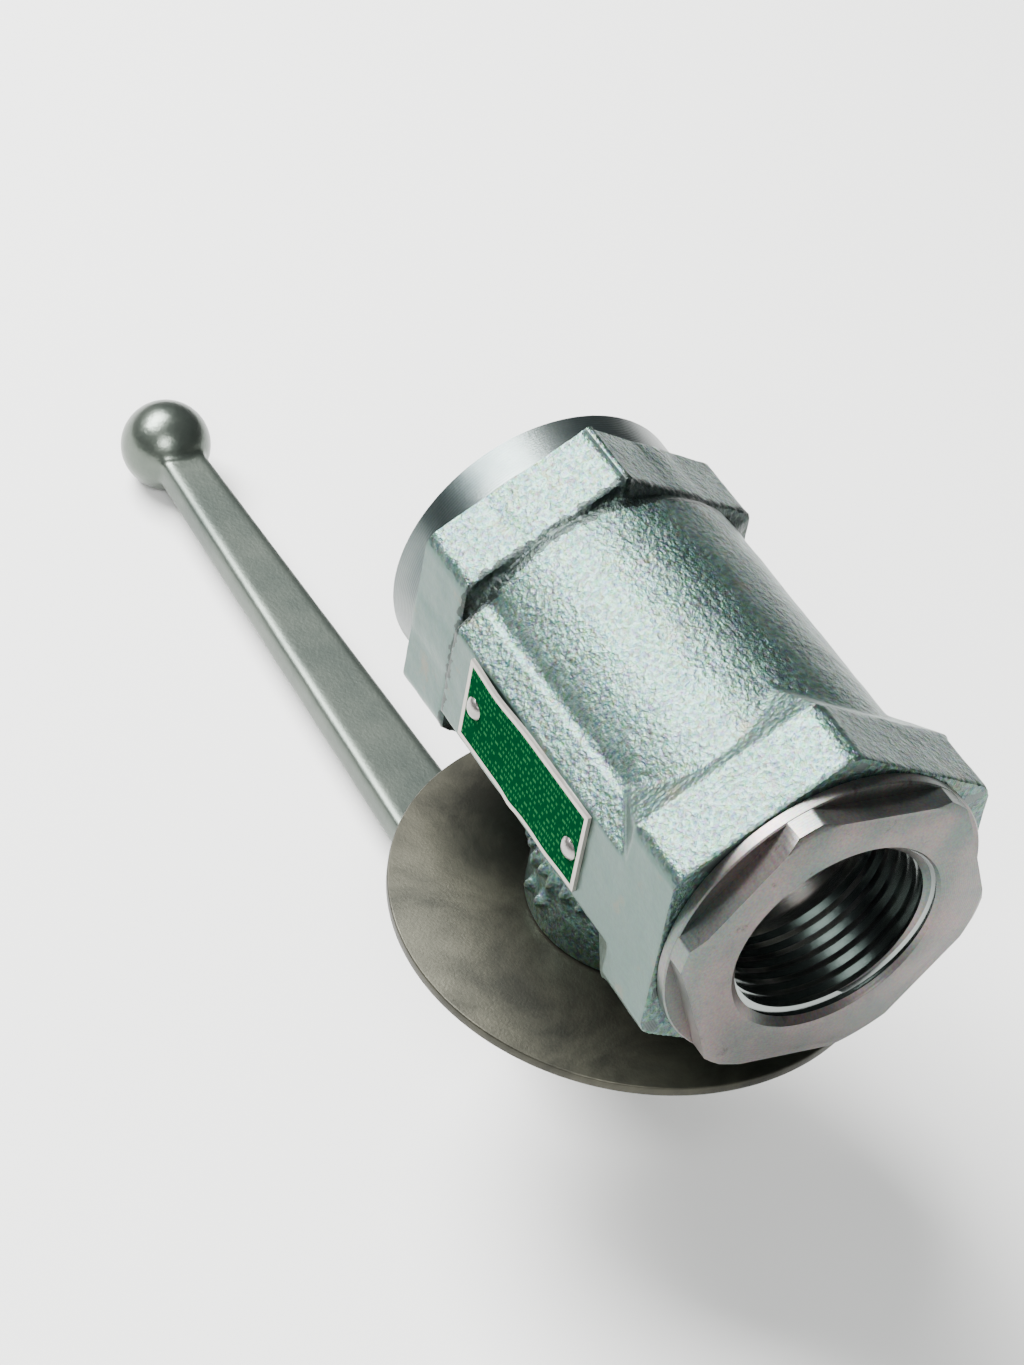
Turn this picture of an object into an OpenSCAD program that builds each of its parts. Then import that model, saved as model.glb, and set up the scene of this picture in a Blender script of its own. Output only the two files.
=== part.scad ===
// Lever-operated quarter-turn valve with a spherical plug, for G1 threaded pipe.
// The flow axis is X and the stem axis is Z. They cross at the origin, in the middle of the plug.
// The stem points down, the screwed-in end connector faces +X, and the nameplate is on the -Y side.
// The valve is drawn open: the lever lies along the pipe, towards -X.

/* [Ports and waterway] */
// Diameter of the waterway through plug, seats and webs
bore_d = 25; // [20:0.5:25]
// Core diameter of the G1 pipe threads
port_d = 30.29; // [28:0.01:31]
// Diameter of the countersink at each port mouth
port_mouth_d = 34.1; // [32:0.1:36]
// Depth of each threaded port
port_depth = 19.2; // [15:0.1:19.5]

/* [Body forging] */
// Width across flats of the front hexagon
front_af = 52; // [51:0.5:54]
// X of the front hexagon's face
front_face_x = 38.6; // [38:0.1:40]
// Thickness of the front hexagon at full width
front_flange_t = 10.8; // [9:0.1:12]
// Width across flats of the rear hexagon
rear_af = 48.8; // [48.4:0.1:50]
// Distance of the rear hexagon's inner face from the stem axis
rear_flange_in = 25.7; // [25:0.1:27]
// Distance of the rear hexagon's outer face from the stem axis
rear_flange_out = 36.2; // [35:0.1:38]
// Distance of the rear end face from the stem axis
rear_end_x = 42.7; // [42:0.1:45]
// Diameter of the turned rear end
rear_end_d = 48.2; // [46:0.1:48.4]
// Diameter of the round barrel between the hexagons
barrel_d = 49.4; // [48:0.1:51]
// Half height of the flat pad that carries the nameplate
pad_edge = 8.6; // [8:0.1:10]
// Diameter of the stem boss
boss_d = 34.4; // [31:0.5:35]
// Depth of the boss's end face below the flow axis
boss_end = 35; // [34:0.1:36]

/* [End connector] */
// X of the connector's outer face
connector_face_x = 44.3; // [44:0.1:45]
// Width across flats of the connector's hexagon
connector_af = 46; // [45:0.5:48]
// Diameter of the round collar
collar_d = 51.2; // [50:0.1:51.6]
// Thickness of the round collar
collar_t = 2.2; // [1.5:0.1:3]
// Turn of the connector's hexagon after it was tightened
connector_turn = 21; // [0:1:59]
// Diameter of the connector's threaded shank
shank_d = 41; // [40:0.1:41.4]

/* [Plug and seats] */
// Diameter of the spherical plug
ball_d = 37; // [36:0.1:37.6]
// Outer diameter of each seat ring
seat_d = 33.6; // [33:0.1:34]

/* [Stem] */
// Diameter of the stem where it runs in the boss
stem_d = 16; // [14:0.5:16]
// Width across flats of the square that drives the lever
square_af = 11; // [10:0.5:11.2]
// Major diameter of the stem's end thread
stem_thread_d = 10; // [8:0.5:10]

/* [Stop disc and lever] */
// Diameter of the round stop disc
disc_d = 75.6; // [74:0.1:78]
// Thickness of the stop disc
disc_t = 1.75; // [1.5:0.05:2.5]
// Distance from the stem axis to the middle of the lever's ball end
lever_len = 156.5; // [140:0.5:180]
// Depth of the lever arm's middle plane below the flow axis
lever_z = 72.9; // [66:0.1:76]
// Diameter of the lever's ball end
knob_d = 16; // [14:0.1:18]
// Width of the arm near the hub
arm_w_in = 14.2; // [12:0.1:16]
// Width of the arm next to the ball end
arm_w_out = 8.4; // [7:0.1:10]
// Thickness of the arm
arm_t = 5.6; // [4:0.1:7]

/* [Nameplate] */
// Length of the nameplate along the flow axis
plate_l = 34.2; // [30:0.1:36]
// Height of the nameplate
plate_h = 14.6; // [12:0.1:16]
// Thickness of the nameplate
plate_t = 0.6; // [0.4:0.05:1]

/* [Hidden] */
$fn = 96;

fit = 0.05;                  // running clearance on radius
gap = 0.4;                   // clearance between faces that sweep past each other
web_r = bore_d / 2 + 0.2;    // waterway radius through the webs and the seats
cavity_r = ball_d / 2 + 0.8;
shank_r = shank_d / 2;
shank_end_x = 12;            // inner end of the connector's shank
seat_in = 9;                 // nearest distance of a seat ring from the stem axis
seat_out = 17;               // back face of a seat ring
seat_bore_r = seat_d / 2 + 0.05;
side_y = front_af / 2;       // the nameplate's pad lies flush with the front hexagon's side
pad_slope = [3.8, 3.2];      // depth and rise of the sloping ledge above and below the pad
port_cone = (port_mouth_d - port_d) / 2;
pad_x0 = -rear_flange_in - 1;
o_ring_r = 1.05;             // section radius of the static O-rings
shank_groove_r = shank_r - 2.15;
shank_groove_x = 30;
shank_groove_w = 4.2;
seat_groove_r = 14.6;

shoulder_d = 21;             // blow-out proof shoulder at the stem's inner end
shoulder_top = ball_d / 2 + 0.2;
shoulder_end = shoulder_top + 2.3;
washer_t = 1;
counterbore_end = shoulder_end + washer_t + 0.1;
slot_w = 7;
slot_depth = 4.3;
stem_groove_r = stem_d / 2 - 1.7;
upper_groove = [24.2, 26.2]; // top and bottom depth of each groove in the stem
lower_groove = [27.2, 30.2];
bush_top = 31;
bush_t = 1.5;
disc_top = boss_end + gap;
hub_top = disc_top + disc_t;
hub_t = 12;
hub_d = 24;
flat_washer_top = hub_top + hub_t + fit;
flat_washer_t = 1.8;
spring_washer_top = flat_washer_top + flat_washer_t + fit;
spring_washer_t = 2.4;
nut_top = spring_washer_top + spring_washer_t + fit;
nut_t = 8;
nut_af = 17;
stem_end = nut_top + nut_t + 1.6;

pin_d = 3.6;
pin_ring_r = 12.4;           // distance of the stop pin from the stem axis
pin_angle = 45;
stop_travel = 90;

crank_out = 50;              // where the lever's crank reaches the arm's plane
plate_x = 0.8;
plate_z = 0.6;
rivet_x = 14.2;              // distance of each rivet from the plate's middle
rivet_z = [0.7, -0.7];       // height of the rear and the front rivet
rivet_head_d = 3.6;
rivet_head_h = 0.9;
rivet_pin_d = 2.4;
rivet_pin_l = 4;

// A cylinder along X from x0 to x1.
module xcyl(x0, x1, r0, r1 = undef) {
    translate([x0, 0, 0]) rotate([0, 90, 0])
        cylinder(h = x1 - x0, r1 = r0, r2 = is_undef(r1) ? r0 : r1);
}

// A hexagonal prism along X with a corner at the top.
module xhex(x0, x1, af) {
    translate([x0, 0, 0]) rotate([0, 90, 0]) cylinder(h = x1 - x0, d = af / cos(30), $fn = 6);
}

// A ring about X with a rectangular section.
module xring(x0, x1, r_in, r_out) {
    rotate([0, 90, 0]) rotate_extrude()
        translate([r_in, x0]) square([r_out - r_in, x1 - x0]);
}

// A ring about Z, from z0 down to z1.
module zring(z0, z1, r_in, r_out) {
    rotate_extrude() translate([r_in, -z1]) square([r_out - r_in, z1 - z0]);
}

// A cylinder about Z, from z0 down to z1.
module zcyl(z0, z1, r) {
    translate([0, 0, -z1]) cylinder(h = z1 - z0, r = r);
}

// A round-section ring: radius to the section's middle, and the section's radius.
module torus(ring_r, section_r) {
    rotate_extrude() translate([ring_r, 0]) circle(r = section_r, $fn = 40);
}

// The waterway side of a port: threaded hole with its countersink, then the web behind it.
// face is the mouth's distance from the stem axis; the port is drawn towards +X.
module port_hole(face, web_end) {
    xcyl(face - port_depth, face + 1, port_d / 2);
    xcyl(face - port_cone, face + 0.01, port_d / 2, port_mouth_d / 2);
    xcyl(web_end, face - port_depth + 1, web_r);
}

// Puts its children at both rivets, at depth y, with their Z axis pointing into the body.
module at_rivets(y) {
    for (i = [0, 1])
        translate([plate_x + (2 * i - 1) * rivet_x, y, rivet_z[i]]) rotate([-90, 0, 0]) children();
}

module body_outside() {
    // front hexagon with its corners eased, and the sloped shoulder behind it
    intersection() {
        xhex(front_face_x - front_flange_t, front_face_x, front_af);
        xcyl(0, front_face_x + 1, 29.6);
    }
    intersection() {
        xhex(14, front_face_x - front_flange_t, front_af);
        xcyl(14, front_face_x - front_flange_t, barrel_d / 2 - 1, 29.6);
    }
    xcyl(-rear_flange_out, front_face_x - 1, barrel_d / 2);
    // flat pad for the nameplate, with a sloping ledge above and below it
    translate([pad_x0, 0, 0]) rotate([90, 0, 90]) linear_extrude(front_face_x - 2 - pad_x0)
        for (side = [1, -1])
            polygon([[-side_y, 0], [-side_y, side * pad_edge],
                [-side_y + pad_slope[0], side * (pad_edge + pad_slope[1])],
                [0, side * (pad_edge + pad_slope[1])], [0, 0]]);
    // rear hexagon, turned down to the round end
    intersection() {
        xhex(-rear_flange_out - 3, -rear_flange_in, rear_af);
        xcyl(-rear_flange_out - 3, -rear_flange_in, rear_end_d / 2, rear_end_d / 2 + 12);
    }
    xcyl(-rear_end_x, -rear_flange_out, rear_end_d / 2);
    zcyl(0, boss_end, boss_d / 2);
}

module body_forging() {
    color("silver") difference() {
        body_outside();
        // bore for the connector, plug chamber and rear seat pocket
        xcyl(shank_end_x - 0.1, front_face_x + 1, shank_r + fit);
        xcyl(0, shank_end_x, cavity_r);
        sphere(r = cavity_r);
        xcyl(-seat_out - fit, 0, seat_bore_r);
        mirror([1, 0, 0]) port_hole(rear_end_x, seat_out - 1);
        // stem passage: shoulder counterbore, running bore and bush pocket
        zcyl(10, counterbore_end, shoulder_d / 2 + 0.2);
        zcyl(counterbore_end - 1, boss_end + 1, stem_d / 2 + fit);
        zcyl(bush_top, boss_end + 1, stem_d / 2 + fit + bush_t);
        rotate([0, 0, pin_angle]) translate([pin_ring_r, 0, 0]) zcyl(27, boss_end + 1, pin_d / 2);
        at_rivets(-side_y - 1) cylinder(h = rivet_pin_l + 1.2, d = rivet_pin_d);
    }
}

module end_connector() {
    color("gainsboro") difference() {
        union() {
            xcyl(shank_end_x, front_face_x, shank_r);
            xcyl(front_face_x, front_face_x + collar_t, collar_d / 2);
            // hexagon milled on the round bar, with a 30 degree front chamfer
            intersection() {
                rotate([connector_turn, 0, 0]) xhex(front_face_x, connector_face_x, connector_af);
                xcyl(front_face_x, connector_face_x, collar_d / 2 + 3, collar_d / 2 - 0.8);
                xcyl(front_face_x, connector_face_x, collar_d / 2);
            }
        }
        port_hole(connector_face_x, seat_out - 1);
        xcyl(0, seat_out + fit, seat_bore_r);
        xring(shank_groove_x - shank_groove_w / 2, shank_groove_x + shank_groove_w / 2,
            shank_groove_r, shank_r + 1);
    }
}

module connector_o_ring() {
    color("dimgray") translate([shank_groove_x - 0.9, 0, 0]) rotate([0, 90, 0])
        torus(shank_r - 1.05, o_ring_r);
}

module connector_backup_ring() {
    color("ivory") xring(shank_groove_x + 0.3, shank_groove_x + shank_groove_w / 2 - fit,
        shank_groove_r + fit, shank_r);
}

// One seat ring, drawn on the +X side: its inner face is a zone of the plug's sphere.
module seat() {
    difference() {
        xcyl(seat_in, seat_out, seat_d / 2);
        xcyl(seat_in - 1, seat_out + 1, web_r);
        sphere(r = ball_d / 2 + fit);
        // groove for the O-ring that presses the seat on to the plug
        xring(seat_out - 1.9, seat_out + 1, seat_groove_r - 1.1, seat_groove_r + 1.1);
    }
}

module seat_o_ring() {
    translate([seat_out - 0.95, 0, 0]) rotate([0, 90, 0]) torus(seat_groove_r, 0.95);
}

module front_seat() {
    color("whitesmoke") seat();
}

module rear_seat() {
    color("whitesmoke") mirror([1, 0, 0]) seat();
}

module front_seat_o_ring() {
    color("dimgray") seat_o_ring();
}

module rear_seat_o_ring() {
    color("dimgray") mirror([1, 0, 0]) seat_o_ring();
}

module stem_bush() {
    color("darkgoldenrod")
        zring(bush_top + fit, boss_end, stem_d / 2 + fit, stem_d / 2 + fit + bush_t);
}

module stop_pin() {
    color("silver") rotate([0, 0, pin_angle]) translate([pin_ring_r, 0, 0])
        zcyl(27, hub_top - 0.1, pin_d / 2);
}

module nameplate() {
    color("darkgreen") difference() {
        translate([plate_x - plate_l / 2, -side_y - plate_t, plate_z - plate_h / 2])
            cube([plate_l, plate_t, plate_h]);
        at_rivets(-side_y - 1) cylinder(h = 2, d = rivet_pin_d);
    }
}

// Two drive rivets with domed heads.
module nameplate_rivets() {
    head_sphere_r = (pow(rivet_head_d / 2, 2) + pow(rivet_head_h, 2)) / (2 * rivet_head_h);
    color("silver") at_rivets(-side_y - plate_t) {
        cylinder(h = rivet_pin_l + plate_t, d = rivet_pin_d);
        intersection() {
            translate([0, 0, -rivet_head_h]) cylinder(h = rivet_head_h, d = rivet_head_d);
            translate([0, 0, head_sphere_r - rivet_head_h]) sphere(r = head_sphere_r);
        }
    }
}

module ball_plug() {
    color("lightsteelblue") difference() {
        sphere(r = ball_d / 2);
        xcyl(-ball_d, ball_d, bore_d / 2);
        translate([-slot_w / 2, -ball_d / 2, -ball_d / 2 - 1])
            cube([slot_w, ball_d, slot_depth + 1]);
    }
}

module stem() {
    tang_w = slot_w - 0.2;
    color("lightgray") {
        difference() {
            union() {
                zcyl(shoulder_top, shoulder_end, shoulder_d / 2);
                zcyl(shoulder_end, disc_top - fit, stem_d / 2);
            }
            for (groove = [upper_groove, lower_groove])
                zring(groove[0], groove[1], stem_groove_r, stem_d);
        }
        // tang that turns the plug
        intersection() {
            translate([-tang_w / 2, -9, -shoulder_top])
                cube([tang_w, 18, slot_depth - 0.3]);
            zcyl(0, shoulder_top, 9);
        }
        translate([-square_af / 2, -square_af / 2, -hub_top - hub_t + 0.4])
            cube([square_af, square_af, hub_t + disc_t + 0.4]);
        zcyl(hub_top + hub_t - 1, stem_end, stem_thread_d / 2 - fit);
    }
}

module stem_thrust_washer() {
    color("ivory")
        zring(shoulder_end + fit / 2, shoulder_end + washer_t, stem_d / 2 + fit, shoulder_d / 2);
}

module upper_stem_o_ring() {
    color("dimgray") translate([0, 0, -upper_groove[0] - 1]) torus(stem_d / 2 - 0.85, 0.84);
}

module lower_stem_o_ring() {
    color("dimgray") translate([0, 0, -lower_groove[0] - 0.9]) torus(stem_d / 2 - 0.85, 0.84);
}

// Anti-extrusion ring, in the lower groove below the O-ring.
module stem_backup_ring() {
    color("ivory") zring(lower_groove[1] - 1.2, lower_groove[1] - fit, stem_groove_r + fit, stem_d / 2);
}

// Disc with a square hole and an arc slot; the ends of the slot stop the lever on the pin.
module stop_disc() {
    slot_r = pin_d / 2 + 0.3;
    end_turn = asin(slot_r / pin_ring_r);
    slot_from = pin_angle - stop_travel - end_turn;
    slot_to = pin_angle + end_turn;
    color("darkgray") difference() {
        zcyl(disc_top, hub_top, disc_d / 2);
        translate([-square_af / 2 - fit, -square_af / 2 - fit, -hub_top - 1])
            cube([square_af + 2 * fit, square_af + 2 * fit, disc_t + 2]);
        intersection() {
            zring(disc_top - 1, hub_top + 1, pin_ring_r - slot_r, pin_ring_r + slot_r);
            translate([0, 0, -hub_top - 2]) linear_extrude(disc_t + 4)
                polygon(concat([[0, 0]], [for (i = [0:3])
                    let (a = slot_from + (slot_to - slot_from) * i / 3) disc_d / 2 * [cos(a), sin(a)]]));
        }
    }
}

// Forged lever: hub on the square, crank down to the arm's plane, tapered arm and ball end.
module lever() {
    hub_mid = hub_top + hub_t / 2;
    color("darkgray") difference() {
        union() {
            zcyl(hub_top, hub_top + hub_t, hub_d / 2);
            // crank and arm in side view, cut to the tapered outline seen from above
            intersection() {
                rotate([90, 0, 0]) translate([0, 0, -hub_d / 2]) linear_extrude(hub_d)
                    polygon([
                        [-6, -hub_mid + arm_t / 2 + 1],
                        [-6, -hub_mid - arm_t / 2 - 1],
                        [-hub_d / 2 + 3, -hub_mid - arm_t / 2 - 1],
                        [-crank_out + 2, -lever_z - arm_t / 2],
                        [-lever_len, -lever_z - arm_t / 2],
                        [-lever_len, -lever_z + arm_t / 2],
                        [-crank_out - 2, -lever_z + arm_t / 2],
                        [-hub_d / 2 + 1, -hub_mid + arm_t / 2 + 1]
                    ]);
                translate([0, 0, -lever_z - knob_d]) linear_extrude(lever_z)
                    polygon([
                        [-4, -hub_d / 2 + 3],
                        [-4, hub_d / 2 - 3],
                        [-crank_out, arm_w_in / 2 + 0.3],
                        [-lever_len, arm_w_out / 2],
                        [-lever_len, -arm_w_out / 2],
                        [-crank_out, -arm_w_in / 2 - 0.3]
                    ]);
            }
            translate([-lever_len, 0, -lever_z]) sphere(d = knob_d);
        }
        translate([-square_af / 2 - fit, -square_af / 2 - fit, -hub_top - hub_t - 1])
            cube([square_af + 2 * fit, square_af + 2 * fit, hub_t + 2]);
    }
}

module lever_flat_washer() {
    color("silver")
        zring(flat_washer_top, flat_washer_top + flat_washer_t, stem_thread_d / 2 + fit, 10);
}

// Split spring washer.
module lever_spring_washer() {
    color("silver") difference() {
        zring(spring_washer_top, spring_washer_top + spring_washer_t,
            stem_thread_d / 2 + fit, 8.8);
        translate([0, -0.5, -spring_washer_top - spring_washer_t - 1])
            cube([12, 1, spring_washer_t + 2]);
    }
}

module lever_nut() {
    color("silver") difference() {
        intersection() {
            translate([0, 0, -nut_top - nut_t]) cylinder(h = nut_t, d = nut_af / cos(30), $fn = 6);
            translate([0, 0, -nut_top - nut_t]) cylinder(h = nut_t, r1 = nut_af / 2, r2 = nut_af / 2 + 6);
        }
        zcyl(nut_top - 1, nut_top + nut_t + 1, stem_thread_d / 2 + fit);
    }
}

body_forging();
end_connector();
connector_o_ring();
connector_backup_ring();
front_seat();
rear_seat();
front_seat_o_ring();
rear_seat_o_ring();
stem_bush();
stop_pin();
nameplate();
nameplate_rivets();
ball_plug();
stem();
stem_thrust_washer();
upper_stem_o_ring();
lower_stem_o_ring();
stem_backup_ring();
stop_disc();
lever();
lever_flat_washer();
lever_spring_washer();
lever_nut();
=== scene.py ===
import math

import bmesh
import bpy
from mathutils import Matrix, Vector


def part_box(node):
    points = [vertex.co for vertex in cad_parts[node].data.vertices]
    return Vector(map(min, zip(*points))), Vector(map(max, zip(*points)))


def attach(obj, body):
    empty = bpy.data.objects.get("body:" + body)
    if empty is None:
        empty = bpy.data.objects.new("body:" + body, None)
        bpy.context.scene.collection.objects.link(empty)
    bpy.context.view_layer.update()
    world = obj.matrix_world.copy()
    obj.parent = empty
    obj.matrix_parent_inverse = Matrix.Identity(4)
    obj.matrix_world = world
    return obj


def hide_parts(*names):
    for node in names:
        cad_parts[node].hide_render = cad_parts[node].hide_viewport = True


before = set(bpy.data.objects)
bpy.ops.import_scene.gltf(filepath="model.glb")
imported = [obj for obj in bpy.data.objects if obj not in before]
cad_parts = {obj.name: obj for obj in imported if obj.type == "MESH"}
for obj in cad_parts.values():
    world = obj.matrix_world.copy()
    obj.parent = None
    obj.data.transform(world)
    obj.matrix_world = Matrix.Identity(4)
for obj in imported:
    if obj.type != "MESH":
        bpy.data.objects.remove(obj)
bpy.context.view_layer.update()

# Camera: a 116 mm lens about 0.63 m from the valve, looking down over the end connector.
camera = bpy.data.cameras.new("camera")
camera.lens = 115.57
camera.sensor_width = 36
camera.clip_start = 0.01
viewpoint = bpy.data.objects.new("camera", camera)
viewpoint.location = (0.3598, -0.2966, 0.4285)
viewpoint.rotation_euler = [math.radians(a) for a in (46.99, -8.30, 61.21)]
bpy.context.scene.collection.objects.link(viewpoint)
bpy.context.scene.camera = viewpoint


# Studio: a pale matt floor under the lever's ball, one soft box high on the left behind the
# valve, a small one beside the camera, and a plain room that is dark towards the horizon.
def paint(code):
    """An sRGB hex colour as linear RGBA."""
    parts = [int(code[i:i + 2], 16) / 255 for i in (1, 3, 5)]
    return (*[c / 12.92 if c <= 0.04045 else ((c + 0.055) / 1.055) ** 2.4 for c in parts], 1)


def wire(material, target, inputs):
    """Sets a node's inputs by name: an output is linked, anything else is a value."""
    for name, value in inputs.items():
        if isinstance(value, bpy.types.NodeSocket):
            material.node_tree.links.new(value, target.inputs[name])
        else:
            target.inputs[name].default_value = value


def add_node(material, kind, inputs, stops=(), **settings):
    """Adds a node with its settings, its inputs and, on a colour ramp, its stops."""
    new = material.node_tree.nodes.new("ShaderNode" + kind)
    for name, value in settings.items():
        setattr(new, name, value)
    wire(material, new, inputs)
    for i, (position, colour) in enumerate(stops):
        ramp = new.color_ramp.elements
        stop = ramp[i] if i < 2 else ramp.new(position)
        stop.position = position
        stop.color = colour
    return new


def make_material(name):
    """A new node material, its Principled shader and the object's own coordinates."""
    material = bpy.data.materials.new(name)
    material.use_nodes = True
    shader = material.node_tree.nodes["Principled BSDF"]
    place = add_node(material, "TexCoord", {}).outputs["Object"]
    return material, shader, place


floor_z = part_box("lever")[0].z
bpy.ops.mesh.primitive_plane_add(size=8, location=(0, 0, floor_z))
floor = bpy.context.object
floor.name = "floor"
floor_paint, shader, place = make_material("pale_matt_board")
wire(floor_paint, shader, {"Base Color": paint("#e6e6e4"), "Roughness": 0.9})
floor.data.materials.append(floor_paint)

for name, place_at, width, height, power in (
        ("soft_box_left", (-0.66, -0.30, 0.84), 0.80, 0.50, 62),
        ("soft_box_by_the_camera", (0.72, -0.60, 0.95), 0.5, 0.5, 22)):
    lamp = bpy.data.lights.new(name, "AREA")
    lamp.shape = "RECTANGLE"
    lamp.size = width
    lamp.size_y = height
    lamp.energy = power
    holder = bpy.data.objects.new(name, lamp)
    holder.location = place_at
    holder.rotation_euler = (-Vector(place_at)).to_track_quat("-Z", "Y").to_euler()
    bpy.context.scene.collection.objects.link(holder)

room = bpy.data.worlds.new("plain_room")
room.use_nodes = True
bpy.context.scene.world = room
heading = add_node(room, "TexCoord", {}).outputs["Generated"]
up = add_node(room, "SeparateXYZ", {"Vector": heading}).outputs["Z"]
shade = add_node(room, "ValToRGB", {"Fac": up},
                 stops=((0.0, paint("#181c1c")), (0.6, paint("#787e80"))))
wire(room, room.node_tree.nodes["Background"], {"Color": shade.outputs["Color"], "Strength": 1.0})

# Body: one steel forging with a hexagon at each end of a round barrel, a flat pad for the
# nameplate and a stem boss. Its skin keeps the rough, softly rounded look of the die under zinc
# plating; the front face, the rear end and the bores are turned after forging.
front_face = 0.0386
front_inner = 0.0272
front_across = 0.052
front_corner_r = 0.0294
shoulder_start = 0.0165
shoulder_r = 0.0238
rear_inner = -0.0240
rear_outer = -0.0358
rear_across = 0.0488
rear_corner_r = 0.0276
rear_step_r = 0.0240
rear_end = -0.0427
rear_end_r = 0.0241
barrel_r = 0.0247
crease_r = 0.0242
ridge_top = 0.0287
pad_face = 0.026
pad_start = -0.0225
pad_end = 0.034
pad_half = 0.0118
pad_bevel = 0.0036
boss_r = 0.0172
boss_end = -0.035
lump_across = 0.0016
lump_wide = 0.0009
round_sides = 160
clear = 0.06                     # cutting tools end this far out, well past the piece


def bar(name, x0, x1, r0, r1=None, sides=96, turn=0.0, axis="X"):
    """A bar or cone from x0 to x1 along the axis; turn spins it about that axis in degrees."""
    bpy.ops.object.select_all(action="DESELECT")
    bpy.ops.mesh.primitive_cone_add(vertices=sides, radius1=r0, radius2=r0 if r1 is None else r1,
                                    depth=x1 - x0)
    piece = bpy.context.object
    piece.name = name
    piece.rotation_mode = "ZYX"
    middle = (x0 + x1) / 2
    if axis == "X":
        piece.rotation_euler = (0, math.pi / 2, math.radians(turn))
        piece.location = (middle, 0, 0)
    else:
        piece.rotation_euler = (0, 0, math.radians(turn))
        piece.location = (0, 0, middle)
    bpy.ops.object.transform_apply(location=True, rotation=True, scale=True)
    return piece


def block(name, low, high):
    """A box between two corners."""
    bpy.ops.object.select_all(action="DESELECT")
    middle = [(a + b) / 2 for a, b in zip(low, high)]
    bpy.ops.mesh.primitive_cube_add(size=1, location=middle)
    piece = bpy.context.object
    piece.name = name
    piece.scale = [b - a for a, b in zip(low, high)]
    bpy.ops.object.transform_apply(location=True, rotation=True, scale=True)
    return piece


def apply(piece, kind, **settings):
    """Adds a modifier with its settings and applies it."""
    modifier = piece.modifiers.new(kind.lower(), kind)
    for name, value in settings.items():
        setattr(modifier, name, value)
    bpy.ops.object.select_all(action="DESELECT")
    piece.select_set(True)
    bpy.context.view_layer.objects.active = piece
    bpy.ops.object.modifier_apply(modifier=modifier.name)


def combine(piece, other, how="UNION"):
    """Joins another solid to the piece, cuts it out or keeps the common part; cut faces take the
    other's material. The other solid is used up."""
    apply(piece, "BOOLEAN", object=other, operation=how, solver="EXACT",
          material_mode="TRANSFER")
    bpy.data.objects.remove(other)


def join(pieces):
    """Puts several solids into one object; a voxel remesh then welds them into one skin."""
    bpy.ops.object.select_all(action="DESELECT")
    for piece in pieces:
        piece.select_set(True)
    bpy.context.view_layer.objects.active = pieces[0]
    bpy.ops.object.join()
    return pieces[0]


def pick(piece, test, kind="FACE"):
    """Goes into edit mode with only the faces, edges or vertices selected whose middle passes."""
    bpy.ops.object.select_all(action="DESELECT")
    piece.select_set(True)
    bpy.context.view_layer.objects.active = piece
    bpy.ops.object.mode_set(mode="EDIT")
    bpy.ops.mesh.select_mode(type=kind)
    bpy.ops.mesh.select_all(action="DESELECT")
    mesh = bmesh.from_edit_mesh(piece.data)
    if kind == "FACE":
        for face in mesh.faces:
            face.select_set(test(face.calc_center_median(), face.normal))
    elif kind == "EDGE":
        for edge in mesh.edges:
            edge.select_set(test((edge.verts[0].co + edge.verts[1].co) / 2,
                                 edge.verts[1].co - edge.verts[0].co))
    else:
        for vertex in mesh.verts:
            vertex.select_set(test(vertex.co, vertex.normal))
    mesh.select_flush_mode()
    bmesh.update_edit_mesh(piece.data)


def done():
    """Back to object mode."""
    bpy.ops.object.mode_set(mode="OBJECT")


corner = 1 / math.sqrt(3)        # a hexagon's corner radius over its width across flats
body = bar("valve_body", front_inner, front_face, front_across * corner, sides=6, turn=30)
combine(body, bar("front_eased", 0.02, 0.05, front_corner_r, sides=round_sides), "INTERSECT")
rear_hexagon = bar("rear_hexagon", rear_end - 0.001, rear_inner, rear_across * corner, sides=6,
                   turn=30)
combine(rear_hexagon, bar("rear_eased", -0.05, -0.02, rear_corner_r, sides=round_sides),
        "INTERSECT")
barrel = bar("barrel", rear_outer, front_face - 0.001, barrel_r, sides=round_sides)
crease = bar("crease", rear_inner - 0.0002, rear_inner + 0.0012, 0.04)
combine(crease, bar("crease_floor", -0.05, 0.0, crease_r, sides=round_sides), "DIFFERENCE")
combine(barrel, crease, "DIFFERENCE")
pad = block("nameplate_pad", (pad_start, -pad_face, -pad_half), (pad_end, 0, pad_half))
pick(pad, lambda place, along: place.y < -0.02 and abs(along.x) > 0.01, "EDGE")
bpy.ops.mesh.bevel(offset=pad_bevel, segments=1, affect="EDGES")
done()

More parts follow.
